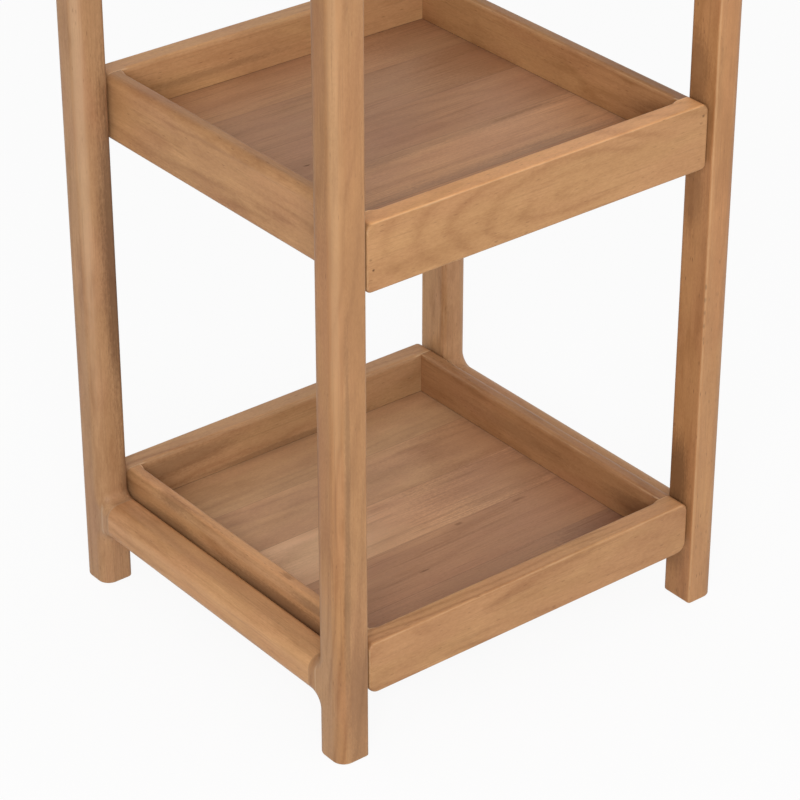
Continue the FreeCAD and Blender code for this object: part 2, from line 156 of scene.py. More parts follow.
class Shade:
    """A number on a surface; arithmetic on it adds Math nodes to its material."""

    def __init__(self, bench, socket):
        self.bench = bench
        self.socket = socket

    def math(self, operation, *others):
        return self.bench.node("ShaderNodeMath", {"operation": operation}, self, *others)

    def __add__(self, other):
        return self.math("ADD", other)

    __radd__ = __add__

    def __sub__(self, other):
        return self.math("SUBTRACT", other)

    def __rsub__(self, other):
        return self.bench.node("ShaderNodeMath", {"operation": "SUBTRACT"}, other, self)

    def __mul__(self, other):
        return self.math("MULTIPLY", other)

    __rmul__ = __mul__

    def least(self, other):
        return self.math("MINIMUM", other)

    def most(self, other):
        return self.math("MAXIMUM", other)

    def size(self):
        return self.math("ABSOLUTE")

    def clipped(self):
        return self.least(1.0).most(0.0)

    def swing(self, weight):
        """Turns a noise into a weight either side of nought."""
        return (self - NOISE_MIDDLE) * weight

    def other(self, name):
        """Another output of the node that this one comes from."""
        return Shade(self.bench, self.socket.node.outputs[name])


class Bench:
    """The node tree of one material or of the world."""

    def __init__(self, owner):
        owner.use_nodes = True
        self.tree = owner.node_tree
        self.tree.nodes.clear()

    def node(self, kind, settings, *inputs, out=0, **named):
        """Adds a node: its settings come first, then the values or links of its sockets."""
        item = self.tree.nodes.new(kind)
        for key, value in settings.items():
            setattr(item, key, value)
        by_name = {socket.name: socket for socket in reversed(item.inputs)}
        by_name.update({socket.identifier: socket for socket in item.inputs})
        pairs = [(item.inputs[i], value) for i, value in enumerate(inputs)]
        pairs += [(by_name[key.replace("__", " ")], value) for key, value in named.items()]
        for socket, value in pairs:
            if isinstance(value, Shade):
                self.tree.links.new(value.socket, socket)
            else:
                socket.default_value = value
        if not item.outputs:
            return None
        if isinstance(out, str):
            found = [socket for socket in item.outputs if out in (socket.identifier, socket.name)]
            return Shade(self, found[0])
        return Shade(self, item.outputs[out])

    def blend(self, amount, first, second, mode="MIX"):
        """One colour laid over another."""
        colours = [value if isinstance(value, Shade) else (*value, 1.0) for value in (first, second)]
        settings = {"data_type": "RGBA", "blend_type": mode, "clamp_factor": True}
        return self.node("ShaderNodeMix", settings, out="Result_Color",
                         Factor_Float=amount, A_Color=colours[0], B_Color=colours[1])

    def vector(self, operation, first, second):
        return self.node("ShaderNodeVectorMath", {"operation": operation}, first, second)

    def shown(self):
        """1 where the backdrop is looked at, straight or in a reflection, and 0 where it lights the room."""
        camera = self.node("ShaderNodeLightPath", {}, out="Is Camera Ray")
        return camera.most(camera.other("Is Glossy Ray")).most(camera.other("Is Transmission Ray"))

    def axes(self, place):
        """The three numbers of a place."""
        first = self.node("ShaderNodeSeparateXYZ", {}, place)
        return first, first.other("Y"), first.other("Z")

    def noise(self, place, layer, out="Fac"):
        """Soft noise, drawn out along the grain."""
        scaled = self.vector("MULTIPLY", place, (layer.along, layer.across, layer.across))
        return self.node("ShaderNodeTexNoise", {"noise_dimensions": "3D"}, out=out, Vector=scaled,
                         Scale=1.0, Detail=layer.detail, Roughness=layer.roughness)

    def fade(self, value, edge, share=1.0):
        """Runs smoothly from 0 where an edge starts to the share where it ends, whichever is larger."""
        start, end = edge
        rising = start < end
        low, high = (start, end) if rising else (end, start)
        first, last = (0.0, share) if rising else (share, 0.0)
        settings = {"interpolation_type": "SMOOTHSTEP", "clamp": True}
        return self.node("ShaderNodeMapRange", settings, out="Result", Value=value,
                         From__Min=low, From__Max=high, To__Min=first, To__Max=last)


@dataclass(frozen=True)
class Layer:
    """A noise in the wood: its waves per millimetre along and across the grain, its detail and roughness."""

    along: float
    across: float
    detail: float
    roughness: float = 0.5


# Noise lies between 0 and 1, around this middle
NOISE_MIDDLE = 0.5

# The noises, from the path of the growth rings to the rubbing of the edges
WANDER = Layer(0.006, 0.02, 2.0)
RING_PATCHES = Layer(0.004, 0.045, 1.0)
BROAD_BANDS = Layer(0.0045, 0.09, 3.0, 0.55)
FIBRES = Layer(0.018, 0.62, 3.0, 0.6)
HAIRS = Layer(0.3, 0.85, 3.0, 0.6)
PATCHES = Layer(0.017, 0.042, 3.0, 0.6)
BLUSHES = Layer(0.011, 0.034, 2.0)
THREADS = Layer(0.0035, 0.3, 1.0)
CLOUDS = Layer(0.012, 0.05, 4.0, 0.62)
RUBBING = Layer(0.035, 0.2, 2.0)

# Pores: cells per millimetre along, across and up the grain
PORE_CELLS = (0.11, 0.6, 0.6)

# How far apart in the noise two neighbouring seeds lie, in millimetres
SEED_STEP = (137.0, 50.69, 100.01)

# Growth rings: how far they wander, in millimetres, and how narrow their dark part is
RING_WANDER = (0.0, 26.0, 26.0)
RING_SHARPNESS = 2.4

# Where a mask in the grain starts and where it is full, in the numbers of its noise or cells
RING_EDGE = (0.36, 0.66)
BLUSH_EDGE = (0.42, 0.62)
STAIN_EDGE = (0.5, 0.68)
LINE_EDGE = (0.035, 0.004)
LINE_PATCHES = (0.44, 0.56)
PORE_EDGE = (0.3, 0.08)
PORE_PICK = (0.72, 0.86)
PORE_BANDS = (0.66, 0.42)

# Where a spot starts and where it is full, as shares of its reach, and how far the grain frays its edge
SPOT_EDGE = (1.0, 0.3)
SPOT_FIBRES = 0.7
SPOT_HAIRS = 0.5

# Where a mask at an end, wall, joint, ear or top starts and is full, in millimetres, and its share; the two
# masks at a wall paint shade along the walls of a tray's base
END_EDGE, END_DARKNESS = (0.5, 0.1), 0.3
WALL_EDGE, WALL_SHADE = (8.0, 0.0), 0.14
GROOVE_EDGE, GROOVE_SHADE = (0.9, 0.2), 0.5
JOINT_EDGE, JOINT_DARKNESS = (0.4, 0.1), 0.25
EAR_EDGE, EAR_SHARE = (1.8, 0.3), 0.2
# Painted light and shade on a top face: where it starts and where it is full, in millimetres
PAINTED_TOP_EDGE = (1.3, 0.2)

# Rubbed edges: the noise at which they keep their width, and the share of that width that is rubbed most
RUB_LEVEL = 0.3
RUB_CORE = 0.35

# The mix of dark and light wood, from 0 to 1, and how far each layer swings it
PLAIN_MIX = 0.58
PATCH_MIX = 1.3
BROAD_MIX = 0.9
FIBRE_MIX = 0.9
HAIR_MIX = 0.7

# How far each layer changes the roughness
FIBRE_ROUGHNESS = 0.14
PATCH_ROUGHNESS = 0.12
PORE_ROUGHNESS = 0.2
WORN_SMOOTHNESS = 0.05

# Relief of each layer as a share of the depth, which is in metres
FIBRE_RELIEF = 0.35
HAIR_RELIEF = 0.45
PORE_RELIEF = 0.9
RING_RELIEF = 0.2
RELIEF_DEPTH = 0.0004
RELIEF_STRENGTH = 0.2

# Level of the plain reflections of the satin finish
SATIN_SPECULAR = 0.2

# How the grain of a piece is laid along the material's first axis: a turn, and the same turn of a place
GRAIN_TURN = {
    "x": ((0.0, 0.0, 0.0), lambda p: (p[0], p[1], p[2])),
    "y": ((0.0, 0.0, -math.pi / 2), lambda p: (p[1], -p[0], p[2])),
    "z": ((0.0, math.pi / 2, 0.0), lambda p: (p[2], p[1], -p[0])),
}


@dataclass(frozen=True)
class Spot:
    """A soft spot on a piece: its middle from the left front bottom corner and its reach, in millimetres."""

    right: float
    back: float
    up: float
    length: float
    width: float
    share: float = 1.0
    tint: tuple = ()


@dataclass
class Timber:
    """What is particular to one piece of wood; places and sizes are in millimetres, the rest are shares."""

    grain: str
    low: Vector
    high: Vector
    light: tuple
    dark: tuple
    seed: int
    tone: tuple = (1.0, 1.0, 1.0)
    # Painted light and shade: the top face made lighter or darker by this factor
    painted_top_shading: float = 1.0
    heart: tuple = (40.0, -60.0)
    slope: tuple = (0.02, 0.03)
    figure: float = 0.4
    spread: float = 1.0
    streaks: float = 0.5
    mottle: float = 0.8
    pores: float = 0.4
    edge: float = 2.0
    worn: float = 0.4
    open_ends: bool = True
    stains: float = 0.5
    blush: float = 0.6
    lines: float = 0.14
    # Dark marks; the broad ones on the front right and back left legs are painted shade
    marks: tuple = ()
    # Light bands in the worn colour: wear with a painted highlight
    bands: tuple = ()
    # Tinted spots; on the legs they paint light, and next to the rims of the bases they paint shade
    tints_and_painted_light: tuple = ()
    walls: tuple = ()
    ear: tuple = ()


class Grain:
    """The layers of one piece of wood; u runs along the grain, v across it and w up, from the middle."""

    def __init__(self, bench, timber, wood):
        self.bench = bench
        self.timber = timber
        self.wood = wood
        turn, self.turned = GRAIN_TURN[timber.grain]
        self.centre = self.turned((timber.low + timber.high) / 2)
        half_u, half_v, self.half_w = [abs(value) / 2 for value in self.turned(timber.high - timber.low)]
        place = bench.node("ShaderNodeTexCoord", {}, out="Object")
        self.local = bench.node("ShaderNodeMapping", {"vector_type": "POINT"}, Vector=place, Rotation=turn,
                                Location=[-value for value in self.centre], Scale=(MM, MM, MM))
        self.u, self.v, self.w = bench.axes(self.local)
        self.u_gap = half_u - self.u.size()
        self.v_gap = half_v - self.v.size()
        self.w_gap = self.half_w - self.w.size()
        self.grown = bench.vector("ADD", self.local, [timber.seed * step for step in SEED_STEP])
        self.broad = bench.noise(self.grown, BROAD_BANDS)
        self.fibres = bench.noise(self.grown, FIBRES)
        self.hairs = bench.noise(self.grown, HAIRS)
        self.patches = bench.noise(self.grown, PATCHES)

    def rings(self):
        """Growth rings around a heart in or beside the piece, wandering a little along the grain."""
        bench = self.bench
        timber = self.timber
        wander = bench.noise(self.grown, WANDER, out="Color")
        shift = bench.vector("SUBTRACT", wander, (NOISE_MIDDLE, NOISE_MIDDLE, NOISE_MIDDLE))
        place = bench.vector("ADD", self.local, bench.vector("MULTIPLY", shift, RING_WANDER))
        along, side, rise = bench.axes(place)
        across = side - timber.heart[0] + along * timber.slope[0]
        upward = rise - timber.heart[1] + along * timber.slope[1]
        radius = (across * across + upward * upward).math("SQRT")
        turns = radius * (2.0 * math.pi / (self.wood.ring_spacing * timber.spread))
        wave = 0.5 - turns.math("COSINE") * 0.5
        strength = bench.noise(self.grown, RING_PATCHES)
        return wave.math("POWER", RING_SHARPNESS) * bench.fade(strength, RING_EDGE)

    def lines(self):
        """Thin dark lines along the grain, in some patches."""
        thread = self.bench.noise(self.grown, THREADS)
        thin = self.bench.fade((thread - NOISE_MIDDLE).size(), LINE_EDGE, self.timber.lines)
        return thin * self.bench.fade(self.patches, LINE_PATCHES)

    def pores(self):
        """Short open pores, gathered in some bands."""
        bench = self.bench
        cells = bench.vector("MULTIPLY", self.grown, PORE_CELLS)
        settings = {"feature": "F1", "voronoi_dimensions": "3D"}
        nearest = bench.node("ShaderNodeTexVoronoi", settings, out="Distance",
                             Vector=cells, Scale=1.0, Randomness=1.0)
        chosen = bench.node("ShaderNodeSeparateColor", {}, nearest.other("Color"), out="Red")
        pore = bench.fade(nearest, PORE_EDGE, self.timber.pores)
        return pore * bench.fade(chosen, PORE_PICK) * bench.fade(self.broad, PORE_BANDS)

    def spot(self, spot):
        """A spot with frayed edges, as strong as its share in the middle."""
        place = self.turned(self.timber.low + Vector((spot.right, spot.back, spot.up)))
        reach = (spot.length, spot.width, spot.width)
        du, dv, dw = [(axis - (value - middle)) * (1.0 / size) for axis, value, middle, size
                      in zip((self.u, self.v, self.w), place, self.centre, reach)]
        away = (du * du + dv * dv + dw * dw).math("SQRT")
        frayed = away + self.fibres.swing(SPOT_FIBRES) + self.hairs.swing(SPOT_HAIRS)
        return self.bench.fade(frayed, SPOT_EDGE, spot.share)

    def dark_spots(self):
        """Pores, thin lines and the dark marks of the piece, some of which are painted shade."""
        dark = self.pores().most(self.lines())
        for dark_patch in self.timber.marks:
            dark = dark.most(self.spot(dark_patch))
        return dark

    def wear(self):
        """Rubbed edges, some more than others."""
        edge = self.timber.edge
        gap = self.v_gap.size().most(self.w_gap.size())
        if self.timber.open_ends:
            gap = gap.least(self.u_gap.most(self.v_gap.least(self.w_gap)).size())
        rubbed = self.bench.noise(self.grown, RUBBING)
        gap = gap + (rubbed - RUB_LEVEL) * edge
        return self.bench.fade(gap, (edge, edge * RUB_CORE), self.timber.worn)

    def dark_ends_joints_and_shade(self):
        """Dark end grain, dark joints between the boards of a tray's base, and painted shade along its walls:
        a soft band and a dark line.
        """
        bench = self.bench
        dark_ends_joints_and_shade = bench.fade(self.u_gap, END_EDGE, END_DARKNESS)
        if self.timber.walls:
            side, front, back = self.timber.walls
            # Painted shade: a soft band and a dark line along the walls of the base, where the rims shade it
            wall = (side - self.u.size()).least(self.v - front).least(back - self.v)
            dark_ends_joints_and_shade = dark_ends_joints_and_shade.most(bench.fade(wall, WALL_EDGE, WALL_SHADE))
            dark_ends_joints_and_shade = dark_ends_joints_and_shade.most(bench.fade(wall, GROOVE_EDGE, GROOVE_SHADE))
            dark_ends_joints_and_shade = dark_ends_joints_and_shade.most(bench.fade(self.v_gap, JOINT_EDGE, JOINT_DARKNESS))
        return dark_ends_joints_and_shade

    def tone(self):
        """The tone of the piece, with its dark end grain, dark joints and painted shade, and with its top
        face painted lighter or darker.
        """
        level = 1.0 - self.dark_ends_joints_and_shade()
        # Painted light and shade: the top face lighter or darker than the rest of the piece
        if self.timber.painted_top_shading != 1.0:
            change = self.bench.fade(self.half_w - self.w, PAINTED_TOP_EDGE, self.timber.painted_top_shading - 1.0)
            level = level * (1.0 + change)
        return self.bench.node("ShaderNodeCombineColor", {}, *[level * value for value in self.timber.tone])

    def colour(self, rings, worn, dark):
        """Dark and light wood under blushes, stains, rubbed edges, light bands, tints, spots and the tone of
        the piece; the light bands are wear with a painted highlight, and some tints and spots paint light and
        shade.
        """
        bench = self.bench
        timber = self.timber
        wood = self.wood
        mix = PLAIN_MIX + self.patches.swing(PATCH_MIX * timber.mottle) + self.hairs.swing(HAIR_MIX)
        mix = mix + self.broad.swing(BROAD_MIX * timber.streaks)
        mix = mix + self.fibres.swing(FIBRE_MIX * timber.streaks) - rings * timber.figure
        colour = bench.blend(mix.clipped(), timber.dark, timber.light)
        blushes = bench.noise(self.grown, BLUSHES, out="Color")
        pink = bench.node("ShaderNodeSeparateColor", {}, blushes, out="Green")
        blush = bench.fade(pink, BLUSH_EDGE, timber.blush)
        colour = bench.blend(blush, colour, wood.blush_tint, "MULTIPLY")
        stain = bench.fade(bench.noise(self.grown, CLOUDS), STAIN_EDGE, timber.stains)
        colour = bench.blend(stain, colour, wood.stain_tint, "MULTIPLY")
        colour = bench.blend(worn, colour, wood.worn_and_highlight_colour)
        # Wear with a painted highlight along a leg's outer front edge
        for highlight_band in timber.bands:
            colour = bench.blend(self.spot(highlight_band), colour, wood.worn_and_highlight_colour)
        # Tinted spots, some of which paint light and shade
        for patch in timber.tints_and_painted_light:
            colour = bench.blend(self.spot(patch), colour, patch.tint, "MULTIPLY")
        # Pores and dark marks, some of them painted shade
        colour = bench.blend(dark, colour, wood.pore_and_shade_colour)
        if timber.ear:
            front, back = timber.ear
            tip = bench.fade((self.v - front).least(back - self.v), EAR_EDGE, EAR_SHARE)
            colour = bench.blend(tip, colour, wood.worn_and_highlight_colour)
        return bench.blend(1.0, colour, self.tone(), "MULTIPLY")


def wood_finish(name, timber, wood):
    """Satin wood with growth rings, fibres, patches, pores, rubbed edges and dark end grain."""
    material = bpy.data.materials.new(name)
    bench = Bench(material)
    grain = Grain(bench, timber, wood)
    rings = grain.rings()
    worn = grain.wear()
    dark = grain.dark_spots()
    rough = wood.satin_roughness + grain.fibres.swing(FIBRE_ROUGHNESS) + grain.patches.swing(PATCH_ROUGHNESS)
    rough = rough + dark * PORE_ROUGHNESS - worn * WORN_SMOOTHNESS
    height = grain.fibres * FIBRE_RELIEF + grain.hairs * HAIR_RELIEF
    height = height - dark * PORE_RELIEF - rings * RING_RELIEF
    bump = bench.node("ShaderNodeBump", {}, out="Normal", Strength=RELIEF_STRENGTH, Distance=RELIEF_DEPTH,
                      Height=height)
    skin = bench.node("ShaderNodeBsdfPrincipled", {}, out="BSDF", Base__Color=grain.colour(rings, worn, dark),
                      Roughness=rough.clipped(), Normal=bump, Specular__IOR__Level=SATIN_SPECULAR)
    bench.node("ShaderNodeOutputMaterial", {}, Surface=skin)
    return material


def dress(node, material):
    """Gives a CAD node its finish."""
    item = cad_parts.get(node)
    if item is None:
        raise RuntimeError("the frame has no node named %s" % node)
    if not item.material_slots:
        item.data.materials.append(None)
    for holder in item.material_slots:
        holder.material = material


# What is particular to each leg; the light bands, the tints and the broad dark marks paint light and shade
LEG_WOOD = {
    "leg_front_left": dict(
        seed=1, heart=(55.0, 38.0), slope=(0.05, 0.03), figure=0.35, tone=(0.84, 0.82, 0.81), stains=0.4,
        # Wear with a painted highlight along the rounded outer front edge
        bands=[Spot(2.0, 3.5, 470.0, 330.0, 6.5, 0.34)],
        marks=[Spot(8.5, 0.0, 250.0, 150.0, 3.0, 0.42),
               Spot(7.5, 0.5, 130.0, 90.0, 3.5, 0.42),
               Spot(18.0, 0.0, 40.0, 85.0, 11.0, 0.22)],
        # Painted light: the left face darker high up and paler and cooler low down, the front face warmer and
        # darker
        tints_and_painted_light=[Spot(0.0, 18.0, 545.0, 170.0, 19.0, tint=(0.85, 0.84, 0.83)),
               Spot(0.0, 18.0, 55.0, 120.0, 20.0, tint=(1.08, 1.2, 1.4)),
               Spot(17.0, 0.0, 400.0, 330.0, 16.0, tint=(0.95, 0.88, 0.8)),
               Spot(17.0, 0.0, 55.0, 110.0, 15.0, tint=(0.87, 0.83, 0.83))]),
    "leg_front_right": dict(
        seed=2, heart=(-45.0, -70.0), slope=(0.01, 0.035), figure=0.25, tone=(0.92, 0.88, 0.84), pores=0.7,
        # Painted shade: the four broad dark marks on the inner face
        marks=[Spot(-1.0, 20.0, 447.0, 42.0, 17.0, 0.42),
               Spot(-1.0, 20.0, 352.0, 40.0, 17.0, 0.3),
               Spot(-1.0, 20.0, 108.0, 48.0, 17.0, 0.62),
               Spot(-1.0, 20.0, 38.0, 24.0, 17.0, 0.35)]
        + [Spot(1.0, 1.0, height, 3.5, 1.2, 0.5) for height in (236.0, 247.0, 258.0, 269.0, 280.0)],
        # Painted light: the front face warmer
        tints_and_painted_light=[Spot(13.0, 0.0, 430.0, 330.0, 16.0, tint=(0.99, 0.89, 0.8))]),
    "leg_back_left": dict(
        seed=3, heart=(70.0, -40.0), slope=(0.02, -0.02), figure=0.3, tone=(0.92, 1.0, 1.16),
        # Wear with a painted highlight along the rounded outer front edge
        bands=[Spot(2.0, 3.5, 420.0, 320.0, 6.0, 0.25)],
        # Painted shade: the dark marks on the front face, towards its inner side
        marks=[Spot(24.0, -1.0, 290.0, 220.0, 15.0, 0.62),
               Spot(26.0, 0.0, 90.0, 60.0, 10.0, 0.4),
               Spot(26.0, 0.0, 600.0, 190.0, 9.0, 0.3)]),
    "leg_back_right": dict(
        seed=4, heart=(-60.0, 50.0), slope=(0.015, 0.02), figure=0.3, tone=(1.15, 1.27, 1.45)),
}


class TABLE_OT_finish_legs(bpy.types.Operator):
    """Finish the four legs with their grain running up"""

    bl_idname = "table.finish_legs"
    bl_label = "Finish Legs"

    def execute(self, context):
        wood = context.scene.table_wood
        depth = context.scene.table_sizes.leg_depth * MM
        for node, facts in LEG_WOOD.items():
            low, high = span(node)
            front, back = low.y, high.y
            if "front" in node:
                high.y = low.y + depth
            else:
                low.y = high.y - depth
            middle = (low.y + high.y) / 2
            timber = Timber("z", low, high, wood.frame_light, wood.frame_dark, edge=2.3, streaks=0.32,
                            ear=(front - middle, back - middle), **facts)
            dress(node, wood_finish(node + "_wood", timber, wood))
        return {"FINISHED"}


# What both stretchers share, and their seeds
STRETCHER_WOOD = dict(tone=(1.14, 1.18, 1.24), edge=4.0, worn=0.2, open_ends=False,
                      heart=(30.0, -55.0), slope=(0.03, 0.01), figure=0.3)
STRETCHER_SEEDS = {"stretcher_left": 11, "stretcher_right": 12}


class TABLE_OT_finish_stretchers(bpy.types.Operator):
    """Finish the two low stretchers with their grain running front to back"""

    bl_idname = "table.finish_stretchers"
    bl_label = "Finish Stretchers"

    def execute(self, context):
        wood = context.scene.table_wood
        for node, seed in STRETCHER_SEEDS.items():
            timber = Timber("y", *span(node), wood.frame_light, wood.frame_dark, seed, **STRETCHER_WOOD)
            dress(node, wood_finish(node + "_wood", timber, wood))
        return {"FINISHED"}


# What the front and back rims share, the lie of their rings, and what is particular to single rims
LONG_RIM_WOOD = dict(edge=1.9, worn=0.45, stains=0.3, streaks=0.25, mottle=0.6)
LONG_RIM_RINGS = {
    "front": dict(heart=(45.0, 12.0), slope=(0.07, 0.05), figure=0.4),
    "back": dict(heart=(-45.0, 12.0), slope=(0.07, 0.05), figure=0.4),
}
LONG_RIM_FIRST_SEED = 21
# The top factors paint light and shade: the top faces of single rims lighter or darker
LONG_RIM_OWN = {
    "middle_tray_front_rim": dict(
        tone=(1.0, 1.0, 0.98), painted_top_shading=1.7, heart=(1.9, -3.5), slope=(0.35, 0.05), figure=0.25, spread=1.6,
        marks=[Spot(5.3, 0.0, 17.3, 1.6, 1.3, 0.85),
               Spot(3.0, 0.0, 25.5, 1.6, 1.1, 0.4),
               Spot(304.4, 0.0, 43.5, 1.7, 1.4, 0.6),
               Spot(302.6, 0.0, 38.3, 2.4, 1.4, 0.35)]),
    "middle_tray_back_rim": dict(
        tone=(1.06, 1.1, 1.12), painted_top_shading=1.22,
        marks=[Spot(95.0, 0.0, 28.5, 90.0, 5.0, 0.3)]),
    "bottom_tray_front_rim": dict(painted_top_shading=1.2),
    "bottom_tray_back_rim": dict(
        tone=(0.95, 1.02, 1.1), painted_top_shading=1.2,
        marks=[Spot(50.0, 0.0, 31.0, 75.0, 13.0, 0.3),
               Spot(155.0, 0.0, 11.0, 140.0, 4.0, 0.35)]),
}


class TABLE_OT_finish_long_rims(bpy.types.Operator):
    """Finish the front and back rims with their grain running left to right"""

    bl_idname = "table.finish_long_rims"
    bl_label = "Finish Front and Back Rims"

    def execute(self, context):
        wood = context.scene.table_wood
        rims = [(tray, part) for tray in TRAYS for part in LONG_RIM_RINGS]
        for seed, (tray, part) in enumerate(rims, start=LONG_RIM_FIRST_SEED):
            node = "%s_tray_%s_rim" % (tray, part)
            facts = {**LONG_RIM_WOOD, **LONG_RIM_RINGS[part], **LONG_RIM_OWN.get(node, {})}
            timber = Timber("x", *span(node), wood.rim_light, wood.rim_dark, seed, **facts)
            dress(node, wood_finish(node + "_wood", timber, wood))
        return {"FINISHED"}


# What the left and right rims share, and what is particular to single rims
SIDE_RIM_WOOD = dict(edge=1.9, worn=0.6, open_ends=False, heart=(-35.0, -50.0), slope=(0.02, 0.03),
                     figure=0.3, streaks=0.4)
SIDE_RIM_FIRST_SEED = 41
# The top factors paint light and shade: the top faces of single rims lighter or darker
SIDE_RIM_OWN = {
    "middle_tray_left_rim": dict(
        tone=(0.97, 0.95, 0.94),
        marks=[Spot(0.0, 185.5, 11.5, 130.0, 12.0, 0.14)]),
    "middle_tray_right_rim": dict(
        tone=(0.92, 0.9, 0.86), painted_top_shading=0.9,
        marks=[Spot(0.0, 10.5, 31.5, 45.0, 15.0, 0.25)]),
    "bottom_tray_left_rim": dict(
        painted_top_shading=1.35,
        marks=[Spot(-1.0, 85.5, 26.0, 120.0, 11.0, 0.5),
               Spot(-1.0, 225.5, 25.0, 70.0, 9.0, 0.35),
               Spot(3.0, 227.5, 43.0, 34.0, 7.0, 0.4),
               Spot(9.0, 91.5, 43.0, 10.0, 4.0, 0.4),
               Spot(0.0, 52.5, 40.0, 34.0, 5.0, 0.35)]),
    "bottom_tray_right_rim": dict(
        tone=(0.8, 0.75, 0.74), painted_top_shading=1.08,
        marks=[Spot(0.0, 15.5, 23.0, 60.0, 15.0, 0.3),
               Spot(0.0, 165.5, 26.0, 90.0, 10.0, 0.2)]),
}


class TABLE_OT_finish_side_rims(bpy.types.Operator):
    """Finish the left and right rims with their grain running front to back"""

    bl_idname = "table.finish_side_rims"
    bl_label = "Finish Side Rims"

    def execute(self, context):
        wood = context.scene.table_wood
        nodes = ["%s_tray_%s_rim" % (tray, part) for tray in TRAYS for part in ("left", "right")]
        for seed, node in enumerate(nodes, start=SIDE_RIM_FIRST_SEED):
            facts = {**SIDE_RIM_WOOD, **SIDE_RIM_OWN.get(node, {})}
            timber = Timber("y", *span(node), wood.rim_light, wood.rim_dark, seed, **facts)
            dress(node, wood_finish(node + "_wood", timber, wood))
        return {"FINISHED"}


def on_board(right, back, length, width, share=1.0, tint=()):
    """A spot on the upper face of a base board."""
    low, high = span("top_tray_base_board_1")
    return Spot(right, back, high.z - low.z, length, width, share, tint)


# What all base boards share, and the two looks that they have
BOARD_WOOD = dict(slope=(0.03, 0.02), figure=0.2, pores=0.2, stains=0.25, blush=0.4, edge=0.6, worn=0.0)
STREAKY = dict(streaks=0.6, mottle=0.4, lines=0.18)
CLOUDY = dict(streaks=0.2, mottle=0.9, lines=0.04)
CLOUDY_BOARDS = ("bottom_tray_base_board_4", "bottom_tray_base_board_5")
BOARD_FIRST_SEED = 61

# Hearts and tones, from the front board to the back one, and what is particular to single boards
BOARD_HEARTS = ((-25.0, -35.0), (12.0, -47.0), (-1.0, -59.0), (-14.0, -35.0), (23.0, -47.0))
BOARD_TONES = {
    "top": ((1.0, 1.0, 1.0), (0.95, 0.96, 0.97), (1.04, 1.05, 1.05), (0.98, 0.97, 0.97), (1.0, 1.02, 1.0)),
    "middle": ((1.1, 1.08, 1.06), (1.26, 1.29, 1.26), (1.0, 1.0, 1.01), (0.96, 0.98, 0.98),
               (1.08, 1.1, 1.07)),
    "bottom": ((0.93, 0.93, 0.95), (0.93, 0.91, 0.92), (1.36, 1.43, 1.45), (1.15, 1.22, 1.2),
               (1.12, 1.22, 1.18)),
}
# The darker tints next to the rims are painted shade
BOARD_OWN = {
    "middle_tray_base_board_2": dict(
        marks=[on_board(230.5, 56.0, 45.0, 3.0, 0.3)],
        # The second tint is painted shade next to the front rim
        tints_and_painted_light=[on_board(165.5, 60.0, 260.0, 14.0, tint=(0.85, 0.86, 0.88)),
               on_board(165.5, -3.0, 260.0, 17.0, tint=(0.77, 0.79, 0.83))]),
    "middle_tray_base_board_3": dict(
        marks=[on_board(57.5, 22.0, 4.0, 1.5, 0.6)]),
    "middle_tray_base_board_4": dict(
        # Painted shade next to the right rim
        tints_and_painted_light=[on_board(273.5, 32.0, 80.0, 60.0, tint=(0.84, 0.76, 0.69))]),
    "middle_tray_base_board_5": dict(
        # Painted shade next to the right rim
        tints_and_painted_light=[on_board(273.5, 20.0, 80.0, 60.0, tint=(0.81, 0.78, 0.74))]),
    "bottom_tray_base_board_1": dict(
        # Painted shade next to the right rim
        tints_and_painted_light=[on_board(273.5, 45.0, 70.0, 40.0, tint=(0.8, 0.8, 0.86))]),
    "bottom_tray_base_board_2": dict(
        marks=[on_board(179.5, 55.8, 5.0, 2.4, 0.42),
               on_board(117.1, 20.1, 7.0, 1.2, 0.5),
               on_board(239.5, 54.5, 10.0, 2.0, 0.35)],
        tints_and_painted_light=[on_board(125.5, 60.0, 90.0, 15.0, tint=(1.2, 1.24, 1.22)),
               on_board(-4.5, 50.0, 110.0, 45.0, tint=(1.3, 1.38, 1.4))]),
    "bottom_tray_base_board_3": dict(
        # The first tint is painted shade next to the right rim
        tints_and_painted_light=[on_board(257.5, 30.0, 110.0, 60.0, tint=(0.7, 0.67, 0.66)),
               on_board(23.5, 35.0, 130.0, 60.0, tint=(1.18, 1.32, 1.38))]),
    "bottom_tray_base_board_4": dict(
        # Painted shade next to the right rim
        tints_and_painted_light=[on_board(273.5, 25.0, 85.0, 60.0, tint=(0.86, 0.8, 0.78))]),
}


class TABLE_OT_finish_base_boards(bpy.types.Operator):
    """Finish the base boards of the trays, each with its own tone"""

    bl_idname = "table.finish_base_boards"
    bl_label = "Finish Base Boards"

    def execute(self, context):
        wood = context.scene.table_wood
        boards = [(tray, index) for tray in TRAYS for index in range(len(BOARD_HEARTS))]
        for seed, (tray, index) in enumerate(boards, start=BOARD_FIRST_SEED):
            node = "%s_tray_base_board_%d" % (tray, index + 1)
            low, high = span(node)
            middle = (low + high) / 2
            side = span(tray + "_tray_right_rim")[0].x
            front = span(tray + "_tray_front_rim")[1].y
            back = span(tray + "_tray_back_rim")[0].y
            look = CLOUDY if node in CLOUDY_BOARDS else STREAKY
            timber = Timber("x", low, high, wood.base_light, wood.base_dark, seed,
                            tone=BOARD_TONES[tray][index], heart=BOARD_HEARTS[index],
                            walls=(side - middle.x, front - middle.y, back - middle.y),
                            **BOARD_WOOD, **look, **BOARD_OWN.get(node, {}))
            dress(node, wood_finish(node + "_wood", timber, wood))
        return {"FINISHED"}


# The way in which each kind of dowel lies, and the seed that all share
DOWEL_GRAIN = {"leg": "x", "corner": "y"}
DOWEL_SEED = 90


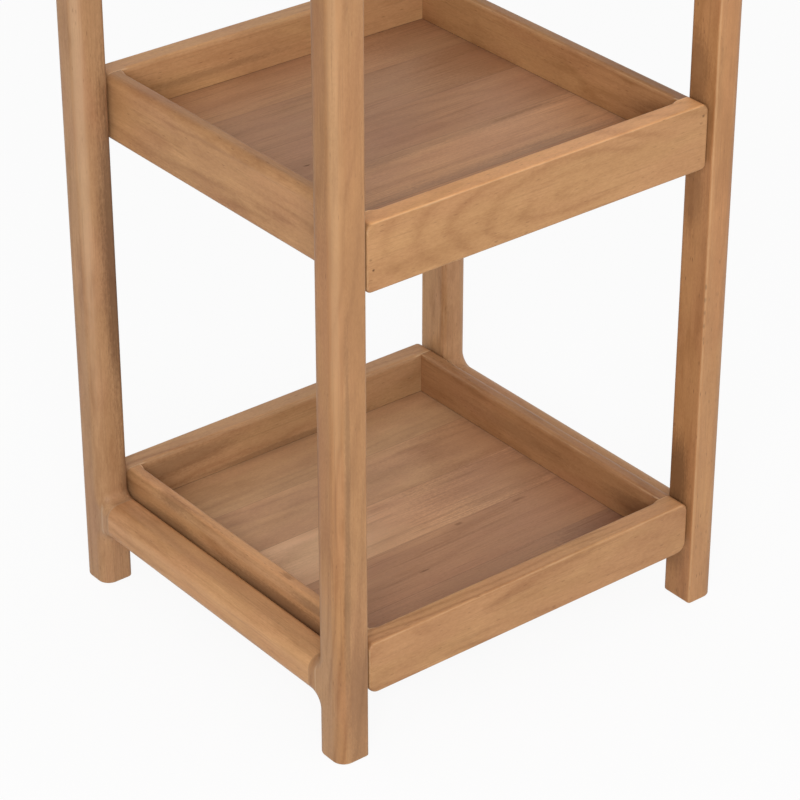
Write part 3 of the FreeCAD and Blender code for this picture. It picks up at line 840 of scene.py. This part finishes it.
class TABLE_OT_finish_dowels(bpy.types.Operator):
    """Finish the hidden dowels in pale wood"""

    bl_idname = "table.finish_dowels"
    bl_label = "Finish Dowels"

    def execute(self, context):
        wood = context.scene.table_wood
        for tray in TRAYS:
            for kind, grain in DOWEL_GRAIN.items():
                node = "%s_tray_%s_dowels" % (tray, kind)
                timber = Timber(grain, *span(node), wood.dowel_light, wood.dowel_dark, DOWEL_SEED,
                                worn=0.0, figure=0.2)
                dress(node, wood_finish(node + "_wood", timber, wood))
        return {"FINISHED"}


WHITE = (1.0, 1.0, 1.0, 1.0)


class TABLE_OT_set_stage(bpy.types.Operator):
    """Set the pale floor, the soft lamps and the camera"""

    bl_idname = "table.set_stage"
    bl_label = "Set Stage"

    def execute(self, context):
        scene = context.scene
        light = scene.table_light
        scene.view_settings.view_transform = "Standard"
        self.lay_floor(scene.table_sizes, light)
        self.light_room(scene, light.room_level)
        self.hang_lamp(scene, "key_lamp", light.key_place, light.key_size, light.key_power)
        self.hang_lamp(scene, "fill_lamp", light.fill_place, light.fill_size, light.fill_power)
        self.place_camera(scene)
        return {"FINISHED"}

    @staticmethod
    def lay_floor(sizes, light):
        bpy.ops.object.select_all(action="DESELECT")
        bpy.ops.mesh.primitive_plane_add(size=sizes.floor_size, location=(0.0, 0.0, -sizes.floor_drop))
        floor = bpy.context.object
        floor.name = "floor"
        bpy.ops.object.transform_apply(location=True, rotation=True, scale=True)
        material = bpy.data.materials.new("pale_floor")
        bench = Bench(material)
        paint = bench.node("ShaderNodeBsdfDiffuse", {}, Color=(*light.floor_colour, 1.0))
        glow = bench.node("ShaderNodeEmission", {}, Color=WHITE, Strength=1.0)
        surface = bench.node("ShaderNodeMixShader", {}, bench.shown() * light.floor_glow, paint, glow)
        bench.node("ShaderNodeOutputMaterial", {}, Surface=surface)
        floor.data.materials.append(material)

    @staticmethod
    def light_room(scene, level):
        world = bpy.data.worlds.new("studio_room")
        scene.world = world
        bench = Bench(world)
        soft = bench.node("ShaderNodeBackground", {}, Color=WHITE, Strength=level)
        white = bench.node("ShaderNodeBackground", {}, Color=WHITE, Strength=1.0)
        sky = bench.node("ShaderNodeMixShader", {}, bench.shown(), soft, white)
        bench.node("ShaderNodeOutputWorld", {}, Surface=sky)

    @staticmethod
    def hang_lamp(scene, name, place, size, power):
        data = bpy.data.lights.new(name, "AREA")
        data.shape = "SQUARE"
        data.size = size
        data.energy = power
        lamp = bpy.data.objects.new(name, data)
        lamp.location = place
        aim = Vector(scene.table_light.lamp_aim) - Vector(place)
        lamp.rotation_euler = aim.to_track_quat("-Z", "Y").to_euler()
        scene.collection.objects.link(lamp)

    @staticmethod
    def place_camera(scene):
        light = scene.table_light
        data = bpy.data.cameras.new("photo_camera")
        data.sensor_width = light.picture_width
        data.lens = light.lens
        camera = bpy.data.objects.new("photo_camera", data)
        camera.location = light.camera_place
        camera.rotation_euler = Vector(light.camera_line).to_track_quat("-Z", "Y").to_euler()
        scene.collection.objects.link(camera)
        scene.camera = camera


class TABLE_PT_sidebar(bpy.types.Panel):
    """Finishes and stage of the table"""

    bl_idname = "TABLE_PT_sidebar"
    bl_label = "Tiered Side Table"
    bl_space_type = "VIEW_3D"
    bl_region_type = "UI"
    bl_category = "Table"

    def draw(self, context):
        layout = self.layout
        for operator in OPERATORS:
            layout.operator(operator.bl_idname)
        for group in ("table_wood", "table_sizes", "table_light"):
            settings = getattr(context.scene, group)
            box = layout.box()
            for name in settings.__annotations__:
                box.prop(settings, name)


OPERATORS = (
    TABLE_OT_finish_legs,
    TABLE_OT_finish_stretchers,
    TABLE_OT_finish_long_rims,
    TABLE_OT_finish_side_rims,
    TABLE_OT_finish_base_boards,
    TABLE_OT_finish_dowels,
    TABLE_OT_set_stage,
)
CLASSES = (TableWood, TableSizes, TableLight) + OPERATORS + (TABLE_PT_sidebar,)


def register():
    for item in CLASSES:
        bpy.utils.register_class(item)
    bpy.types.Scene.table_wood = bpy.props.PointerProperty(type=TableWood)
    bpy.types.Scene.table_sizes = bpy.props.PointerProperty(type=TableSizes)
    bpy.types.Scene.table_light = bpy.props.PointerProperty(type=TableLight)


def unregister():
    del bpy.types.Scene.table_light
    del bpy.types.Scene.table_sizes
    del bpy.types.Scene.table_wood
    for item in reversed(CLASSES):
        bpy.utils.unregister_class(item)


def main():
    register()
    bpy.ops.table.finish_legs()
    bpy.ops.table.finish_stretchers()
    bpy.ops.table.finish_long_rims()
    bpy.ops.table.finish_side_rims()
    bpy.ops.table.finish_base_boards()
    bpy.ops.table.finish_dowels()
    bpy.ops.table.set_stage()


if __name__ == "__main__":
    main()
